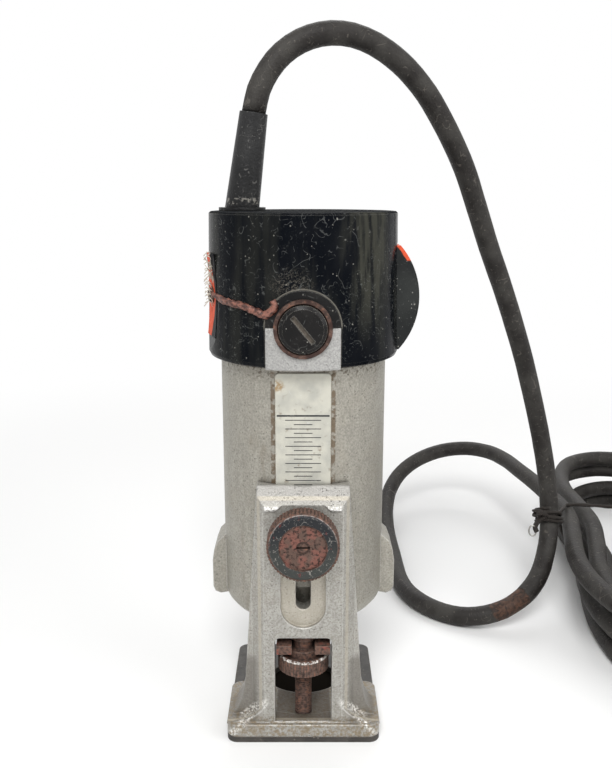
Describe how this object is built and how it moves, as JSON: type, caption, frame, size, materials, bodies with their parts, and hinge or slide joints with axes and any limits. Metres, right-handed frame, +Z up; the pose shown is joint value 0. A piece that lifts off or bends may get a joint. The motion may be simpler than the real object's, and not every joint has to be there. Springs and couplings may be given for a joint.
{
  "type": "laminate trimmer router",
  "caption": "Small upright electric router: a cast motor housing that slides on a base bracket, set by a knurled nut and locked by a knob, with its cord in a tied hank.",
  "frame": {"origin": "cutter axis at the underside of the base plate", "axes": "+Z up along the cutter axis, -Y towards the side with the bracket, knob and scale, +X towards the switch"},
  "size_m": [0.2766, 0.3337, 0.2616],
  "materials": {
    "cast_metal": "aged cast aluminium, lightly pitted, dull",
    "dark_plate": "dark laminated plate, worn satin",
    "rusty_steel": "steel with brown rust, matte",
    "steel": "plain steel, dull",
    "bright_steel": "ground steel",
    "worn_black_steel": "blackened steel, knurled, worn to rust",
    "scale_metal": "thin printed metal plate with graduations",
    "black_plastic": "black moulded phenolic, glossy, scratched",
    "phenolic": "brown moulded phenolic",
    "carbon": "pressed carbon",
    "copper": "copper",
    "brass": "tarnished brass",
    "orange_paper": "torn orange paper label remains",
    "rubber": "black rubber, aged",
    "cord_rubber": "black-brown rubber cord jacket, worn",
    "tie_string": "dark waxed string"
  },
  "bodies": {
    "base": {"sub_base": "dark_plate", "base_bracket": "cast_metal", "sub_base_screws": "rusty_steel", "depth_stud": "rusty_steel", "cord_lead": "cord_rubber", "cord_loop": "cord_rubber", "cord_hank": "cord_rubber", "cord_tie": "tie_string", "plug_body": "rubber", "plug_blades": "brass"},
    "motor": {"adjuster_fork": "rusty_steel", "fork_screws": "steel", "lock_washer": "steel", "motor_housing": "cast_metal", "scale_plate": "scale_metal", "end_cap": "black_plastic", "end_cap_screws": "steel", "brush_insert_front": "black_plastic", "brush_insert_rear": "black_plastic", "brush_tube_front": "rusty_steel", "brush_tube_rear": "rusty_steel", "brush_cap_front": "black_plastic", "brush_cap_rear": "black_plastic", "carbon_brushes": "carbon", "brush_springs": "brass", "stator_core": "steel", "field_coils": "copper", "lower_bearing": "bright_steel", "upper_bearing": "bright_steel", "bearing_retainer": "steel", "switch_body": "phenolic", "switch_pin": "steel", "side_label": "orange_paper", "side_screw": "rusty_steel", "cord_grommet": "rubber", "strain_relief": "rubber", "switch_leads": "rubber"},
    "rotor": {"spindle": "bright_steel", "armature_core": "steel", "armature_windings": "copper", "commutator": "copper", "cooling_fan": "cast_metal", "bearing_inner_races": "bright_steel", "collet": "bright_steel"},
    "adjuster": {"adjusting_nut": "rusty_steel"},
    "lock": {"lock_knob": "worn_black_steel", "lock_stud": "rusty_steel"},
    "rocker": {"switch_paddle": "black_plastic"},
    "chuck": {"collet_nut": "steel"}
  },
  "joints": [
    {"name": "nut_spin", "type": "hinge", "parent": "motor", "child": "adjuster", "pos_m": [0, -0.0285, 0.03], "axis": [0, 0, 1], "range_deg": [-7200, 0]},
    {"name": "depth_slide", "type": "slide", "parent": "base", "child": "motor", "axis": [0, 0, 1], "range_m": [-0.01588, 0], "deforming": ["cord_lead"]},
    {"name": "rotor_spin", "type": "hinge", "parent": "motor", "child": "rotor", "pos_m": [0, 0, 0.03], "axis": [0, 0, 1], "continuous": true},
    {"name": "collet_nut_turn", "type": "hinge", "parent": "rotor", "child": "chuck", "pos_m": [0, 0, 0.02], "axis": [0, 0, -1], "range_deg": [0, 720]},
    {"name": "lock_turn", "type": "hinge", "parent": "motor", "child": "lock", "pos_m": [0, -0.04, 0.0811], "axis": [0, -1, 0], "range_deg": [0, 540]},
    {"name": "switch_rock", "type": "hinge", "parent": "motor", "child": "rocker", "pos_m": [0.032, 0, 0.1625], "axis": [0, 1, 0], "range_deg": [0, 5]}
  ],
  "couplings": [
    {"joint": "nut_spin", "follows": "depth_slide", "rad_per_m": 7915.8}
  ]
}
